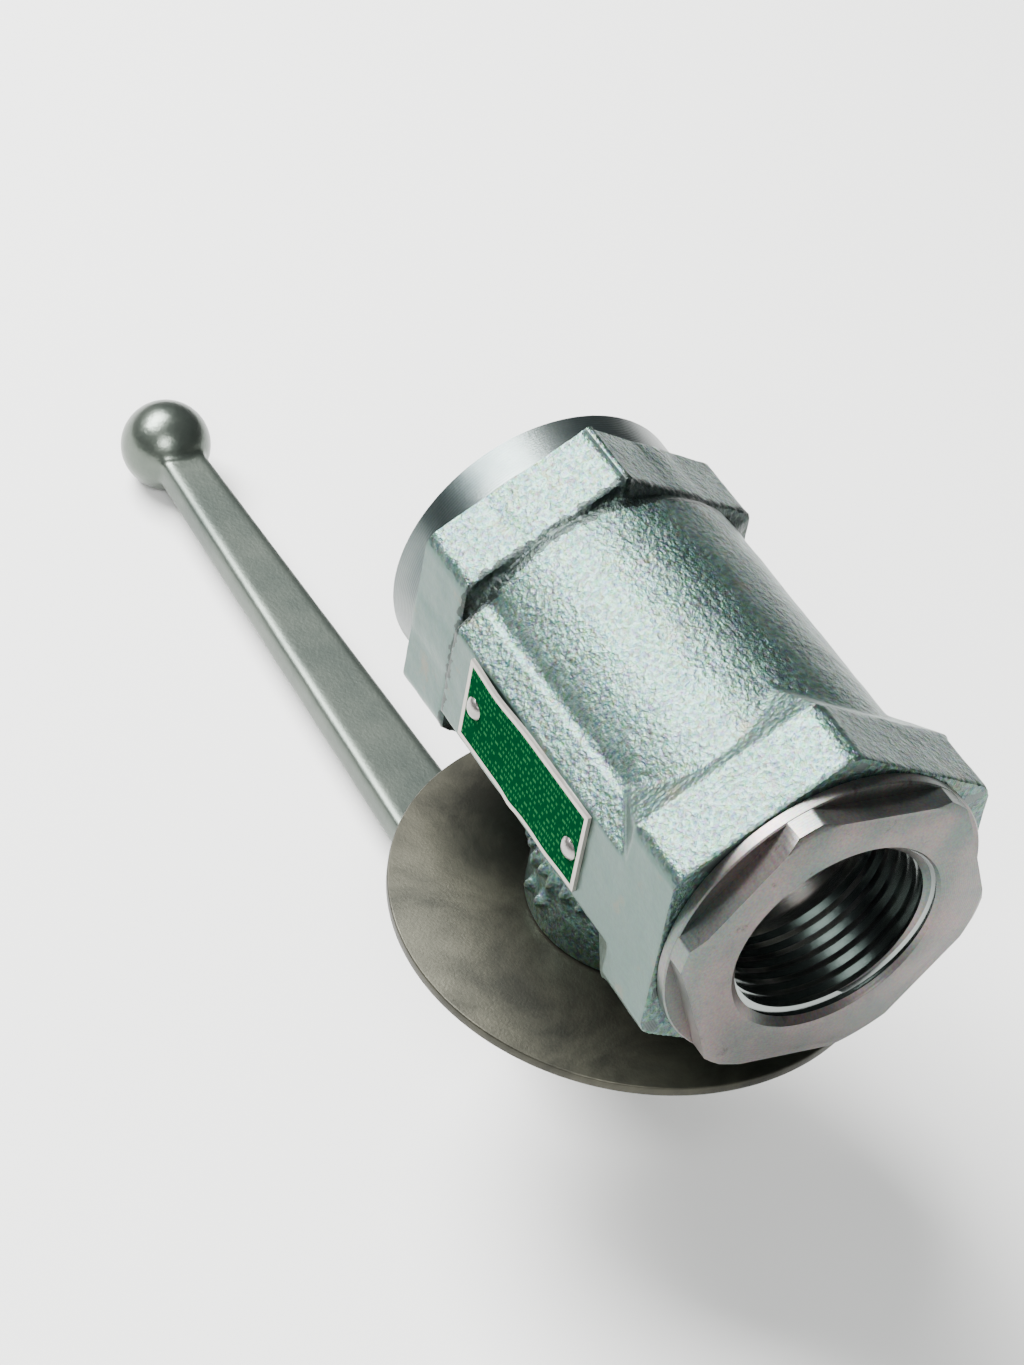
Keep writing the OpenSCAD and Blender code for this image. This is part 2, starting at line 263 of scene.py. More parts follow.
# Raised lumps on the boss, where a forging carries its marks: three uneven rows, each lump given
# by its heading about the stem in degrees, its height and how tall it is.
lumps = []
for heading, height, tall in (
        (-134, -0.0170, 0.0040), (-126, -0.0166, 0.0030), (-117, -0.0172, 0.0042),
        (-108, -0.0165, 0.0036), (-99, -0.0172, 0.0042), (-90, -0.0166, 0.0034),
        (-81, -0.0170, 0.0042), (-72, -0.0174, 0.0030), (-130, -0.0240, 0.0036),
        (-121, -0.0246, 0.0044), (-112, -0.0238, 0.0030), (-103, -0.0244, 0.0044),
        (-94, -0.0240, 0.0030), (-86, -0.0246, 0.0044), (-76, -0.0240, 0.0040),
        (-66, -0.0244, 0.0030), (-92, -0.0300, 0.0030), (-104, -0.0302, 0.0030)):
    angle = math.radians(heading)
    bpy.ops.object.select_all(action="DESELECT")
    bpy.ops.mesh.primitive_uv_sphere_add(
        segments=12, ring_count=8, radius=1, rotation=(0, 0, angle),
        location=(boss_r * math.cos(angle), boss_r * math.sin(angle), height))
    lumps.append(bpy.context.object)
    lumps[-1].scale = (lump_across, lump_wide, tall / 2)
    bpy.ops.object.transform_apply(location=True, rotation=True, scale=True)
body = join([body, rear_hexagon, barrel, pad,
             bar("shoulder", shoulder_start, front_inner + 0.0002, shoulder_r,
                 front_across * corner, sides=6, turn=30),
             bar("rear_step", rear_inner - 0.0005, rear_inner + 0.0016,
                 rear_across * corner - 0.0003, rear_step_r, sides=6, turn=30),
             block("parting_ridge", (rear_outer, -0.0005, 0.02),
                   (rear_inner + 0.0006, 0.0005, ridge_top)),
             bar("boss", boss_end - 0.001, 0, boss_r, axis="Z"), *lumps])
apply(body, "REMESH", mode="VOXEL", voxel_size=0.0005)
apply(body, "SMOOTH", factor=0.5, iterations=3)
waves = bpy.data.textures.new("forging_waves", "CLOUDS")
waves.noise_scale = 0.006
waves.noise_depth = 2
apply(body, "DISPLACE", texture=waves, texture_coords="LOCAL", strength=0.0003, mid_level=0.6)

# Forged skin under zinc: grains a little under 1 mm wide that sparkle blue, green and pink, their
# lighter spots painted glints as well as grain; smoother on the flat sides where the dies slid, and
# painted a plainer, darker grey there as shade; a dark band of painted shade lies in the crease,
# edges are worn brown and stains show here and there.
per_mm = 1000.0                  # a pattern's Scale for one noise cell in every millimetre
forged, shader, place = make_material("zinc_plated_steel_forged")
axes = add_node(forged, "SeparateXYZ", {"Vector": place})
normal = add_node(forged, "TexCoord", {}).outputs["Normal"]
across = add_node(forged, "SeparateXYZ", {"Vector": normal}).outputs["Y"]
sideways = add_node(forged, "Math", {0: across}, operation="ABSOLUTE").outputs[0]
# Faces turned to either side get less grain, which is real because the dies slid there. They also
# get a plain darker grey, which is painted shade on the side faces and the flank.
rough_unshaded_faces = add_node(forged, "MapRange", {"Value": sideways, "From Min": 0.80, "From Max": 0.95,
                                           "To Min": 1.0, "To Max": 0.12}).outputs[0]
on_boss = add_node(forged, "MapRange", {"Value": axes.outputs["Z"], "From Min": -0.0125,
                                        "From Max": -0.0150}).outputs[0]
off_flange = add_node(forged, "Math", {0: axes.outputs["X"], 1: 0.024}, operation="LESS_THAN")
on_boss = add_node(forged, "Math", {0: on_boss, 1: off_flange.outputs[0]}, operation="MULTIPLY")
rough_unshaded_part = add_node(forged, "Math", {0: rough_unshaded_faces, 1: on_boss.outputs[0]},
                      operation="MAXIMUM").outputs[0]
grain = add_node(forged, "TexNoise", {"Vector": place, "Scale": 1.15 * per_mm, "Detail": 4.0,
                                      "Roughness": 0.6})
# The lighter spots of the grain are painted glints as well as grain.
grain_and_painted_glint = add_node(forged, "ValToRGB", {"Fac": grain.outputs["Fac"]},
                 stops=((0.40, paint("#989898")), (0.62, paint("#dcdcdc"))))
tints = add_node(forged, "TexNoise", {"Vector": place, "Scale": 1.5 * per_mm, "Detail": 1.0})
vivid = add_node(forged, "HueSaturation", {"Color": tints.outputs["Color"],
                                           "Saturation": 1.8})
speckle = add_node(forged, "Mix", {0: 0.6, 6: grain_and_painted_glint.outputs["Color"],
                                   7: vivid.outputs["Color"]}, data_type="RGBA",
                   blend_type="OVERLAY")
# The plain #909090 on the side faces is darker than the grain: painted shade.
base = add_node(forged, "Mix", {0: rough_unshaded_part, 6: paint("#909090"), 7: speckle.outputs[2]},
                data_type="RGBA")
zinc = add_node(forged, "Mix", {0: 0.7, 6: paint("#5a706a"), 7: base.outputs[2]},
                data_type="RGBA", blend_type="OVERLAY")
stains = add_node(forged, "TexNoise", {"Vector": place, "Scale": 0.14 * per_mm, "Detail": 6.0,
                                       "Roughness": 0.7})
stained = add_node(forged, "ValToRGB", {"Fac": stains.outputs["Fac"]},
                   stops=((0.60, paint("#000000")), (0.68, paint("#b8b8b8"))))
browned = add_node(forged, "Mix", {0: stained.outputs["Color"], 6: zinc.outputs[2],
                                   7: paint("#6d604e")}, data_type="RGBA")
edge = add_node(forged, "NewGeometry", {}).outputs["Pointiness"]
worn = add_node(forged, "MapRange", {"Value": edge, "From Min": 0.53, "From Max": 0.60,
                                     "To Max": 0.8}).outputs[0]
patchy = add_node(forged, "TexNoise", {"Vector": place, "Scale": 0.26 * per_mm, "Detail": 4.0})
patchy = add_node(forged, "MapRange", {"Value": patchy.outputs["Fac"], "From Min": 0.45,
                                       "From Max": 0.60}).outputs[0]
worn = add_node(forged, "Math", {0: worn, 1: patchy}, operation="MULTIPLY")
edged = add_node(forged, "Mix", {0: worn.outputs[0], 6: browned.outputs[2],
                                 7: paint("#5f5747")}, data_type="RGBA")
# A near-black band, #2b302e, is painted along the rear crease: painted shade.
crease_x = rear_inner + 0.0007
off = add_node(forged, "Math", {0: axes.outputs["X"], 1: -crease_x}, operation="ADD")
off = add_node(forged, "Math", {0: off.outputs[0]}, operation="ABSOLUTE")
ragged = add_node(forged, "TexNoise", {"Vector": place, "Scale": 0.7 * per_mm, "Detail": 3.0})
ragged = add_node(forged, "Math", {0: ragged.outputs["Fac"], 1: 0.0030}, operation="MULTIPLY")
in_crease_band = add_node(forged, "Math", {0: off.outputs[0], 1: ragged.outputs[0]}, operation="LESS_THAN")
painted_crease_shade = add_node(forged, "Math", {0: in_crease_band.outputs[0], 1: 0.85}, operation="MULTIPLY")
colour = add_node(forged, "Mix", {0: painted_crease_shade.outputs[0], 6: edged.outputs[2],
                                  7: paint("#2b302e")}, data_type="RGBA")
relief = add_node(forged, "Bump", {"Height": grain.outputs["Fac"], "Strength": rough_unshaded_part,
                                   "Distance": 0.00032})
wire(forged, shader, {"Base Color": colour.outputs[2], "Metallic": 0.92, "Roughness": 0.32,
                      "Normal": relief.outputs["Normal"]})

# Faces cut on the lathe and mill, then zinc plated: satin with fine rings about the flow axis,
# a faint rainbow grain and a few brown handling marks. The rings are about 0.4 mm apart.
def turned_zinc(name, low, high, rainbow, roughness, tool_marks):
    """Cut steel under zinc between two greys; tool_marks is the depth of the tool's rings."""
    material, shader, place = make_material(name)
    rings = add_node(material, "TexWave", {"Vector": place, "Scale": 0.9 * per_mm, "Distortion": 1.0,
                                           "Detail": 2.0}, wave_type="RINGS", rings_direction="X")
    bands = add_node(material, "TexWave", {"Vector": place, "Scale": 0.7 * per_mm, "Distortion": 0.5,
                                           "Detail": 2.0}, wave_type="BANDS", bands_direction="X")
    lines = add_node(material, "Math", {0: rings.outputs["Fac"], 1: bands.outputs["Fac"]},
                     operation="ADD")
    drift = add_node(material, "TexNoise", {"Vector": place, "Scale": 0.09 * per_mm, "Detail": 3.0})
    hue = add_node(material, "ValToRGB", {"Fac": drift.outputs["Fac"]},
                   stops=((0.35, paint(low)), (0.62, paint(high))))
    tints = add_node(material, "TexNoise", {"Vector": place, "Scale": 2.4 * per_mm, "Detail": 2.0})
    grainy = add_node(material, "Mix", {0: rainbow, 6: hue.outputs["Color"],
                                        7: tints.outputs["Color"]}, data_type="RGBA",
                      blend_type="OVERLAY")
    marks = add_node(material, "TexNoise", {"Vector": place, "Scale": 0.21 * per_mm, "Detail": 7.0,
                                            "Roughness": 0.75})
    marked = add_node(material, "MapRange", {"Value": marks.outputs["Fac"], "From Min": 0.60,
                                             "From Max": 0.68, "To Max": 1.2 * rainbow})
    colour = add_node(material, "Mix", {0: marked.outputs[0], 6: grainy.outputs[2],
                                        7: paint("#3f3a31")}, data_type="RGBA")
    height = add_node(material, "Math", {0: lines.outputs[0], 1: tints.outputs["Fac"]},
                      operation="ADD")
    relief = add_node(material, "Bump", {"Height": height.outputs[0], "Strength": 0.3,
                                         "Distance": tool_marks})
    wire(material, shader, {"Base Color": colour.outputs[2], "Metallic": 0.95,
                            "Roughness": roughness, "Normal": relief.outputs["Normal"]})
    return material


turned = turned_zinc("zinc_plated_steel_turned", "#465050", "#5e6664", 0.1, 0.30, 0.00005)


def made_of(piece, material):
    """Gives a solid its one material; a cutting tool's is what the cut faces show."""
    piece.data.materials.clear()
    piece.data.materials.append(material)
    return piece


def smooth(piece, angle=30):
    """Smooth shading that keeps the edges sharper than the angle in degrees."""
    bpy.ops.object.select_all(action="DESELECT")
    piece.select_set(True)
    bpy.context.view_layer.objects.active = piece
    bpy.ops.object.shade_smooth_by_angle(angle=math.radians(angle))


def outline(name, points):
    """A chain of edges, extruded from one vertex to the next."""
    bpy.ops.object.select_all(action="DESELECT")
    bpy.ops.mesh.primitive_plane_add(size=0.001, location=points[0])
    piece = bpy.context.object
    piece.name = name
    bpy.ops.object.mode_set(mode="EDIT")
    bpy.ops.mesh.select_mode(type="VERT")
    bpy.ops.mesh.select_all(action="SELECT")
    bpy.ops.mesh.merge(type="CENTER")
    for a, b in zip(points, points[1:]):
        step = [q - p for p, q in zip(a, b)]
        bpy.ops.mesh.extrude_region_move(TRANSFORM_OT_translate={"value": step})
    bpy.ops.object.mode_set(mode="OBJECT")
    bpy.ops.object.transform_apply(location=True, rotation=True, scale=True)
    return piece


def screw_thread(name, start, turns, lead, core, crest, axis="X"):
    """A solid screw along X or Z: one tooth's outline wound round the axis, its ends closed."""
    shape = ((0, core), (0.16, core), (0.44, crest), (0.56, crest), (0.84, core), (1, core))
    along = [start + share * lead for share, _ in shape]
    if axis == "X":
        points = [(x, 0, r) for x, (_, r) in zip(along, shape)]
    else:
        points = [(r, 0, x) for x, (_, r) in zip(along, shape)]
    piece = outline(name, points)
    apply(piece, "SCREW", axis=axis, screw_offset=lead, iterations=turns, steps=64,
          render_steps=64, use_merge_vertices=False)
    pick(piece, lambda place, normal: True, "VERT")
    bpy.ops.mesh.remove_doubles(threshold=0.000001)
    for _ in range(2):           # the lower open end is closed first, then the upper one
        bpy.ops.mesh.select_all(action="DESELECT")
        bpy.ops.mesh.select_non_manifold(extend=False, use_wire=False, use_multi_face=False,
                                         use_non_contiguous=False, use_verts=False)
        mesh = bmesh.from_edit_mesh(piece.data)
        ends = [v for v in mesh.verts if v.select]
        index = 0 if axis == "X" else 2
        if not ends:
            break
        low = min(v.co[index] for v in ends)
        for v in ends:
            if v.co[index] > low + 1.5 * lead:
                v.select_set(False)
        mesh.select_flush_mode()
        bmesh.update_edit_mesh(piece.data)
        bpy.ops.mesh.extrude_region_move(TRANSFORM_OT_translate={"value": (0, 0, 0)})
        bpy.ops.mesh.merge(type="CENTER")
    bpy.ops.mesh.select_all(action="SELECT")
    bpy.ops.mesh.normals_make_consistent(inside=False)
    done()
    return piece


# Cut thread, left oily by the tap: it mirrors the dark inside of the port.
tapped, shader, place = make_material("steel_tapped_and_oiled")
wire(tapped, shader, {"Base Color": paint("#8d9391"), "Metallic": 1.0, "Roughness": 0.2})


def revolve(name, points, axis="X"):
    """A turned solid: points are (place along the axis, radius), first and last on the axis."""
    if axis == "X":
        piece = outline(name, [(along, 0, r) for along, r in points])
    else:
        piece = outline(name, [(r, 0, along) for along, r in points])
    apply(piece, "SCREW", axis=axis, screw_offset=0, steps=160, render_steps=160)
    pick(piece, lambda place, normal: True, "VERT")
    bpy.ops.mesh.remove_doubles(threshold=0.000001)
    bpy.ops.mesh.normals_make_consistent(inside=False)
    done()
    return piece


# G1 pipe thread, 11 turns to the inch: core radius, outer radius and pitch.
port_r = 0.015145
thread_r = 0.016625
thread_pitch = 0.002309


def cut_bores(piece, tool, finish, tapped_from, tapped_to, tap_start):
    """Cuts a turned tool out of a piece; its port wall, between two places on X, gets a thread."""
    made_of(tool, finish)
    tool.data.materials.append(tapped)
    pick(tool, lambda place, normal: tapped_from < place.x < tapped_to
         and abs(math.hypot(place.y, place.z) - port_r) < 0.0005)
    tool.active_material_index = 1
    bpy.ops.object.material_slot_assign()
    done()
    combine(piece, tool, "DIFFERENCE")
    tap = screw_thread("tap", tap_start, 8, thread_pitch, port_r - 0.0003, thread_r)
    combine(piece, made_of(tap, tapped), "DIFFERENCE")


# Faces milled or turned flat after forging.
made_of(body, forged)
mill = 0.05
combine(body, made_of(block("face_mill", (front_face, -mill, -mill), (clear, mill, mill)), turned),
        "DIFFERENCE")
combine(body, made_of(block("boss_mill", (-0.03, -0.03, -clear), (0.03, 0.03, boss_end)), turned),
        "DIFFERENCE")
lathe = bar("lathe", -clear, rear_outer, clear)
combine(lathe, bar("left_standing", -0.07, 0, rear_end_r, sides=round_sides), "DIFFERENCE")
combine(body, made_of(lathe, turned), "DIFFERENCE")
combine(body, made_of(block("rear_mill", (-0.07, -mill, -mill), (rear_end, mill, mill)), turned),
        "DIFFERENCE")

# Bores on the flow axis: the connector's thread, the round plug chamber, the rear seat's pocket,
# the waterway through the web, and the rear port with its countersink.
connector_bore_r = 0.02055
connector_bore_end = 0.0119
chamber_r = 0.0193
seat_r = 0.01685
seat_back = 0.01705
web_r = 0.0127
port_depth = 0.0192
mouth_r = 0.01705
countersink = 0.0019
seat_mouth = math.sqrt(chamber_r ** 2 - seat_r ** 2)
arc = [(-chamber_r * math.sin(a), chamber_r * math.cos(a))
       for a in (math.asin(seat_mouth / chamber_r) * i / 8 for i in range(8))]
rear_web = rear_end + port_depth
cut_bores(body, revolve("body_bores", [
    (clear, 0), (clear, connector_bore_r), (connector_bore_end, connector_bore_r),
    (connector_bore_end, chamber_r), *arc, (-seat_mouth, seat_r), (-seat_back, seat_r),
    (-seat_back, web_r), (rear_web, web_r), (rear_web, port_r), (rear_end + countersink, port_r),
    (rear_end - 0.0001, mouth_r), (-clear, mouth_r), (-clear, 0)]),
    turned, rear_end, rear_web, rear_end - 0.002)

# Bores on the stem axis, from the boss's mouth up: the bush, the stem and its wide shoulder.
bush_r = 0.00955
bush_top = -0.031
stem_bore_r = 0.00805
shoulder_bore_r = 0.0107
shoulder_bore_end = -0.0221
bores_top = -0.01
combine(body, made_of(revolve("stem_bores", [
    (-clear, 0), (-clear, bush_r), (bush_top, bush_r), (bush_top, stem_bore_r),
    (shoulder_bore_end, stem_bore_r), (shoulder_bore_end, shoulder_bore_r),
    (bores_top, shoulder_bore_r), (bores_top, 0)], axis="Z"), turned), "DIFFERENCE")
smooth(body, 35)
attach(body, "valve_body")
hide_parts("body_forging")

# End connector: a steel bar turned to a collar and a shank with a seal groove (the shank's thread is
# not drawn), milled to a hexagon with its corners left round and chamfered in front, and tapped with
# the G1 pipe thread.
front_end = 0.0443
collar_front = 0.0406
collar_r = 0.0256
collar_break = 0.0002
hex_across = 0.046
hex_turn = 51
chamfer_r = 0.0243
chamfer_reach = 0.006
chamfer_slope = 0.577            # rise over run at 30 degrees
shank_r = 0.0205
shank_end = 0.012
seal_back = 0.0279
seal_front = 0.0321
seal_floor_r = 0.01835
tap_depth = 0.0175

milled = turned_zinc("zinc_plated_bar_steel_milled", "#58635f", "#756c6a", 0.5, 0.36, 0.000015)
connector = revolve("hexagon_connector", [
    (shank_end, 0), (shank_end, shank_r), (seal_back, shank_r), (seal_back, seal_floor_r),
    (seal_front, seal_floor_r), (seal_front, shank_r), (front_face, shank_r),
    (front_face, collar_r - collar_break), (front_face + collar_break, collar_r),
    (collar_front - collar_break, collar_r), (collar_front, collar_r - collar_break),
    (collar_front, 0)])
head = bar("head", front_face + 0.0005, front_end, hex_across * corner, sides=6, turn=hex_turn)
combine(head, bar("bar_stock", front_face, 0.05, collar_r - 0.0001, sides=144), "INTERSECT")
combine(head, bar("chamfer_tool", front_end - chamfer_reach, front_end + 0.0002,
                  chamfer_r + chamfer_reach / chamfer_slope, chamfer_r - 0.00035, sides=176),
        "INTERSECT")
combine(connector, head)
made_of(connector, milled)
front_web = front_end - port_depth
cut_bores(connector, revolve("connector_bores", [
    (0, 0), (0, seat_r), (seat_back, seat_r), (seat_back, web_r), (front_web, web_r),
    (front_web, port_r), (front_end - countersink, port_r), (front_end + 0.0001, mouth_r),
    (clear, mouth_r), (clear, 0)]), milled, front_web, front_end, front_end - tap_depth)
smooth(connector)
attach(connector, "valve_body")
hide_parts("end_connector")

# Lever: one steel forging with a hub on the stem's square, a crank down to the arm, and a ball
# for the hand. Dull zinc over a fine forged skin.
ball_x = -0.1565
arm_z = -0.0729
ball_r = 0.008
hub_top = -0.03715
hub_bottom = -0.04915
hub_r = 0.012
arm_thick = 0.0056
arm_wide = 0.0142
arm_narrow = 0.0084
arm_edge = 0.0013
crank_x = -0.052
root_x = -0.008
root_wide = 0.018
square_gap = 0.00555             # half the square holes of lever and disc
lever = block("lever_arm", (ball_x, -arm_narrow / 2, arm_z - arm_thick / 2),
              (ball_x + 0.004, arm_narrow / 2, arm_z + arm_thick / 2))
hub_middle = (hub_top + hub_bottom) / 2

# The arm is drawn out from the ball to the bend, round the bend, and up to the hub.
for end_x, end_z, width, thick in ((crank_x, arm_z, arm_wide, arm_thick),
                                   (crank_x + 0.002, arm_z + 0.0010, arm_wide, arm_thick * 1.2),
                                   (root_x, hub_middle, root_wide, arm_thick * 1.4)):
    right = max(c[0] for c in lever.bound_box)
    last = [v.co for v in lever.data.vertices if v.co.x > right - 0.0001]
    now_z = sum(c.z for c in last) / len(last)
    now_width = 2 * max(c.y for c in last)
    now_thick = max(c.z for c in last) - min(c.z for c in last)
    pick(lever, lambda place, normal: place.x > right - 0.0001 and normal.x > 0.5)
    bpy.ops.mesh.extrude_region_move(
        TRANSFORM_OT_translate={"value": (end_x - right, 0, end_z - now_z)})
    bpy.ops.transform.resize(value=(1, width / now_width, thick / now_thick))
    done()
pick(lever, lambda place, along: abs(along.x) > 0.001, "EDGE")
bpy.ops.mesh.bevel(offset=arm_edge, segments=3, affect="EDGES")
done()
combine(lever, bar("hub", hub_bottom, hub_top, hub_r, axis="Z"))
bpy.ops.object.select_all(action="DESELECT")
bpy.ops.mesh.primitive_uv_sphere_add(segments=64, ring_count=32, radius=ball_r,
                                     location=(ball_x, 0, arm_z))
knob = bpy.context.object
bpy.ops.object.transform_apply(location=True, rotation=True, scale=True)
combine(lever, knob)
apply(lever, "REMESH", mode="VOXEL", voxel_size=0.0005)
apply(lever, "SMOOTH", factor=0.5, iterations=6)


def square_hole():
    """The square drift that makes the hole in the lever's hub and in the disc."""
    return block("square_hole", (-square_gap, -square_gap, -0.06), (square_gap, square_gap, -0.03))


# Forged lever under dull zinc: grey with a green cast, a fine grain, and a ball that is more
# polished than the arm.
dull, shader, place = make_material("zinc_plated_steel_dull")
grain = add_node(dull, "TexNoise", {"Vector": place, "Scale": 1.6 * per_mm, "Detail": 3.0})
patches = add_node(dull, "TexNoise", {"Vector": place, "Scale": 0.07 * per_mm, "Detail": 5.0,
                                      "Roughness": 0.7})
hue = add_node(dull, "ValToRGB", {"Fac": patches.outputs["Fac"]},
               stops=((0.3, paint("#4c544f")), (0.7, paint("#626961"))))
relief = add_node(dull, "Bump", {"Height": grain.outputs["Fac"], "Strength": 0.35,
                                 "Distance": 0.0001})
along = add_node(dull, "SeparateXYZ", {"Vector": place}).outputs["X"]
handled = add_node(dull, "MapRange", {"Value": along, "From Min": ball_x + 0.006,
                                      "From Max": ball_x + 0.010, "To Min": 0.30,
                                      "To Max": 0.42}).outputs[0]
wire(dull, shader, {"Base Color": hue.outputs["Color"], "Metallic": 0.9, "Roughness": handled,
                    "Normal": relief.outputs["Normal"]})
made_of(lever, dull)
combine(lever, made_of(square_hole(), dull), "DIFFERENCE")
lever.name = "hand_lever"
smooth(lever)
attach(lever, "operator")
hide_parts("lever")

# Stop disc: punched from steel sheet, with a square hole and the arc slot for the stop pin.
disc_r = 0.0378
disc_top = -0.0354
disc_bottom = -0.03715
disc_edge = 0.0003
slot_outer_r = 0.0145
slot_inner_r = 0.0103
disc = bar("round_stop_disc", disc_bottom, disc_top, disc_r, sides=192, axis="Z")
apply(disc, "BEVEL", width=disc_edge, segments=3, limit_method="ANGLE")
combine(disc, square_hole(), "DIFFERENCE")
slot = bar("slot", -0.04, -0.03, slot_outer_r, axis="Z")
combine(slot, bar("slot_inside", -0.05, -0.02, slot_inner_r, axis="Z"), "DIFFERENCE")
combine(slot, block("front_half", (0, -0.02, -0.05), (0.03, 0.02, -0.02)), "INTERSECT")
combine(disc, slot, "DIFFERENCE")

# Dull rolled sheet steel: dark and matt, with cloudy water stains one or two centimetres across.
sheet, shader, place = make_material("sheet_steel_stained")
clouds = add_node(sheet, "TexNoise", {"Vector": place, "Scale": 0.06 * per_mm, "Detail": 6.0,
                                      "Roughness": 0.65, "Distortion": 0.6})
hue = add_node(sheet, "ValToRGB", {"Fac": clouds.outputs["Fac"]},
               stops=((0.35, paint("#2b2b26")), (0.65, paint("#45443b"))))
grain = add_node(sheet, "TexNoise", {"Vector": place, "Scale": 2.2 * per_mm, "Detail": 2.0})
relief = add_node(sheet, "Bump", {"Height": grain.outputs["Fac"], "Strength": 0.25,
                                  "Distance": 0.0001})
wire(sheet, shader, {"Base Color": hue.outputs["Color"], "Metallic": 0.9, "Roughness": 0.45,
                     "Normal": relief.outputs["Normal"]})
made_of(disc, sheet)
smooth(disc)
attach(disc, "operator")
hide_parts("stop_disc")

# Nameplate: thin aluminium sheet, printed green inside a bare border with rows of fine marks,
# and slightly sprung away from the body at its upper edge.
border = 0.0008
row_height = 0.0011
plate_low, plate_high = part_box("nameplate")
plate = block("nameplate_sheet", plate_low, plate_high)
for axis, cuts in (("x", 32), ("z", 14)):
    pick(plate, lambda place, along: abs(getattr(along, axis)) > 0.01, "EDGE")
    bpy.ops.mesh.subdivide(number_cuts=cuts)
    done()

# Bare rolled aluminium: a plain warm grey with a soft sheen.
bare, shader, place = make_material("aluminium_sheet_bare")
wire(bare, shader, {"Base Color": paint("#a8a29c"), "Metallic": 0.9, "Roughness": 0.38})

# Printed green lacquer, matt: rows of short pale dashes stand for the small print.
printed, shader, place = make_material("aluminium_sheet_printed_green")
axes = add_node(printed, "SeparateXYZ", {"Vector": place})
row = add_node(printed, "Math", {0: axes.outputs["Z"], 1: 1 / row_height}, operation="MULTIPLY")
in_row = add_node(printed, "Math", {0: row.outputs[0]}, operation="FRACT")
row_mask = add_node(printed, "Math", {0: in_row.outputs[0], 1: 0.45}, operation="LESS_THAN")
row_id = add_node(printed, "Math", {0: row.outputs[0]}, operation="FLOOR")
spot = add_node(printed, "CombineXYZ", {"X": axes.outputs["X"], "Y": row_id.outputs[0]})
dashes = add_node(printed, "TexNoise", {"Vector": spot.outputs[0], "Scale": 2.2 * per_mm,
                                        "Detail": 0.0})
dash_mask = add_node(printed, "Math", {0: dashes.outputs["Fac"], 1: 0.5},
                     operation="GREATER_THAN")
marks = add_node(printed, "Math", {0: row_mask.outputs[0], 1: dash_mask.outputs[0]},
                 operation="MULTIPLY")
faded = add_node(printed, "Math", {0: marks.outputs[0], 1: 0.3}, operation="MULTIPLY")
ink = add_node(printed, "Mix", {0: faded.outputs[0], 6: paint("#002f18"), 7: paint("#3a7a4a")},
               data_type="RGBA")
wire(printed, shader, {"Base Color": ink.outputs[2], "Roughness": 0.5,
                       "Specular IOR Level": 0.0})
made_of(plate, bare)
plate.data.materials.append(printed)
pick(plate, lambda place, normal: normal.y < -0.9)
bpy.ops.mesh.inset(thickness=border, depth=0)
plate.active_material_index = 1
bpy.ops.object.material_slot_assign()
done()

# Three dents: where the sheet stands off, by how much, and how far the bulge reaches.
for x, z, lift, reach in ((-0.008, plate_high.z, 0.0004, 0.005),
                          (0.010, plate_low.z, 0.0002, 0.003),
                          (-0.0005, plate_low.z, 0.0003, 0.002)):
    for vertex in plate.data.vertices:
        distance = math.hypot(vertex.co.x - x, vertex.co.z - z)
        vertex.co.y -= lift * math.exp(-(distance / reach) ** 2)
smooth(plate, 40)
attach(plate, "valve_body")
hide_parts("nameplate")

# Drive rivets: two steel rivets with domed heads, hammered into the body through the plate.
head_r = 0.0018
head_h = 0.0009
rivet_places = ((-0.0134, 0.0007), (0.0150, -0.0007))

# Bright zinc on small steel parts: a light warm grey, nearly a mirror, with faint scuffs.
bright, shader, place = make_material("steel_bright_zinc")
scuffs = add_node(bright, "TexNoise", {"Vector": place, "Scale": 0.5 * per_mm, "Detail": 4.0})
tone = add_node(bright, "ValToRGB", {"Fac": scuffs.outputs["Fac"]},
                stops=((0.4, paint("#94918e")), (0.7, paint("#aba8a4"))))
wire(bright, shader, {"Base Color": tone.outputs["Color"], "Metallic": 0.95, "Roughness": 0.3})
dome_r = (head_r ** 2 + head_h ** 2) / (2 * head_h)
heads = []
for x, z in rivet_places:
    bpy.ops.object.select_all(action="DESELECT")
    bpy.ops.mesh.primitive_uv_sphere_add(segments=48, ring_count=32, radius=dome_r,
                                         location=(x, plate_low.y + dome_r - head_h, z),
                                         rotation=(math.pi / 2, 0, 0))
    head = bpy.context.object
    bpy.ops.object.transform_apply(location=True, rotation=True, scale=True)
    pick(head, lambda place, normal: True)
    bpy.ops.mesh.bisect(plane_co=(0, plate_low.y, 0), plane_no=(0, 1, 0), clear_outer=True,
                        use_fill=True)
    done()
    heads.append(head)
rivets = heads[0]
combine(rivets, heads[1])
rivets.name = "nameplate_drive_rivets"
made_of(rivets, bright)
smooth(rivets)
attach(rivets, "valve_body")
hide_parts("nameplate_rivets")

